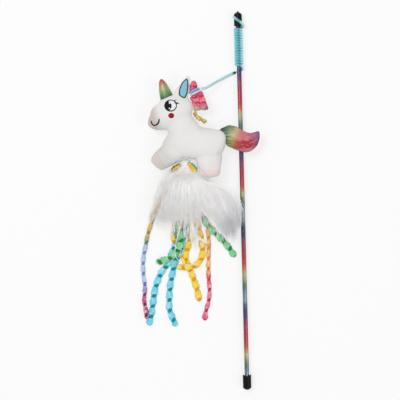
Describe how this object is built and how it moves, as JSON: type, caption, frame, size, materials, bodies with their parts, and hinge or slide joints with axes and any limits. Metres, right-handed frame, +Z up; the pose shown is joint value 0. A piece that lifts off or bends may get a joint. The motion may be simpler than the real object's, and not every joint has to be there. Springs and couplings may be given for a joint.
{
  "type": "cat teaser wand",
  "caption": "Slim rainbow foil wand with rubber end caps and a stuffed unicorn toy on an elastic cord, trailing a downy plume and plush ribbons, lying flat.",
  "frame": {"origin": "on the rod's axis, at the middle of the lower cap's straight wall", "axes": "+Y along the rod from the lower cap to the upper cap, +Z up from the table that the wand lies on, -X towards the side that the toy lies on"},
  "size_m": [0.1284, 0.3976, 0.0287],
  "materials": {
    "rainbow_foil": "satin, rainbow metallic film on a plastic rod",
    "black_rubber": "glossy",
    "turquoise_elastic": "braided",
    "tie_elastic": "braided",
    "white_plush": "short pile plush",
    "hoof_plush": "short pile plush",
    "rainbow_fabric": "metallic rainbow fabric",
    "ear_lining": "printed felt",
    "pink_mane": "metallic printed fabric",
    "yellow_strip": "curly plush yarn",
    "binding_thread": "wound thread",
    "white_down": "downy feather",
    "ribbon_left": "two tone plush ribbon",
    "ribbon_blue": "two tone plush ribbon",
    "ribbon_green": "two tone plush ribbon",
    "ribbon_yellow": "two tone plush ribbon",
    "ribbon_pink": "two tone plush ribbon"
  },
  "bodies": {
    "wand": {"rod": "rainbow_foil", "lower_end_cap": "black_rubber", "upper_end_cap": "black_rubber", "cord_winding": "turquoise_elastic"},
    "tether_root": {"tether_root": "turquoise_elastic"},
    "tether": {"tether_cord": "turquoise_elastic"},
    "toy": {"mane_tie": "tie_elastic", "torso": "white_plush", "head": "white_plush", "front_leg": "white_plush", "front_hoof": "hoof_plush", "hind_leg": "white_plush", "hind_hoof": "hoof_plush", "horn": "rainbow_fabric", "ear": "white_plush", "ear_lining": "ear_lining", "mane_top_curl": "pink_mane", "mane_front_curl": "pink_mane", "mane_rear_curl": "pink_mane", "mane_yellow_strip": "yellow_strip"},
    "tail": {"tail": "rainbow_fabric"},
    "plume": {"plume_binding": "binding_thread", "feathers_left": "white_down", "feathers_middle": "white_down", "feathers_right": "white_down", "ribbon_blue_outer": "ribbon_blue", "ribbon_blue_inner": "ribbon_blue", "ribbon_green_curl": "ribbon_green", "ribbon_yellow_leg": "ribbon_yellow", "ribbon_yellow_arch": "ribbon_yellow"},
    "left_ribbon": {"ribbon_left": "ribbon_left"},
    "pink_ribbon": {"ribbon_pink": "ribbon_pink"},
    "green_ribbon": {"ribbon_green_right": "ribbon_green"}
  },
  "joints": [
    {"name": "tether_hang", "type": "hinge", "parent": "wand", "child": "tether_root", "pos_m": [-0.0038, 0.32523, -0.0036], "axis": [0, 1, 0], "range_deg": [-80, 5]},
    {"name": "tether_swing", "type": "hinge", "parent": "tether_root", "child": "tether", "pos_m": [-0.012, 0.32173, -0.0024], "axis": [0, 0, 1], "range_deg": [-75, 0]},
    {"name": "toy_swing", "type": "hinge", "parent": "tether", "child": "toy", "pos_m": [-0.04, 0.30823, 0.0093], "axis": [0, 0, 1], "range_deg": [-30, 0]},
    {"name": "tail_wag", "type": "hinge", "parent": "toy", "child": "tail", "pos_m": [-0.0113, 0.25823, 0.0093], "axis": [0, 0, 1], "range_deg": [-12, 12]},
    {"name": "plume_swing", "type": "hinge", "parent": "toy", "child": "plume", "pos_m": [-0.0585, 0.23263, 0.0093], "axis": [0, 0, 1], "range_deg": [-8, 0]},
    {"name": "left_ribbon_swing", "type": "hinge", "parent": "plume", "child": "left_ribbon", "pos_m": [-0.0663, 0.22873, 0.0093], "axis": [0, 0, 1], "range_deg": [-20, 0]},
    {"name": "pink_ribbon_swing", "type": "hinge", "parent": "plume", "child": "pink_ribbon", "pos_m": [-0.0537, 0.22873, 0.0093], "axis": [0, 0, 1], "range_deg": [0, 4]},
    {"name": "green_ribbon_swing", "type": "hinge", "parent": "plume", "child": "green_ribbon", "pos_m": [-0.0516, 0.22873, 0.0093], "axis": [0, 0, 1], "range_deg": [-5, 0]}
  ]
}
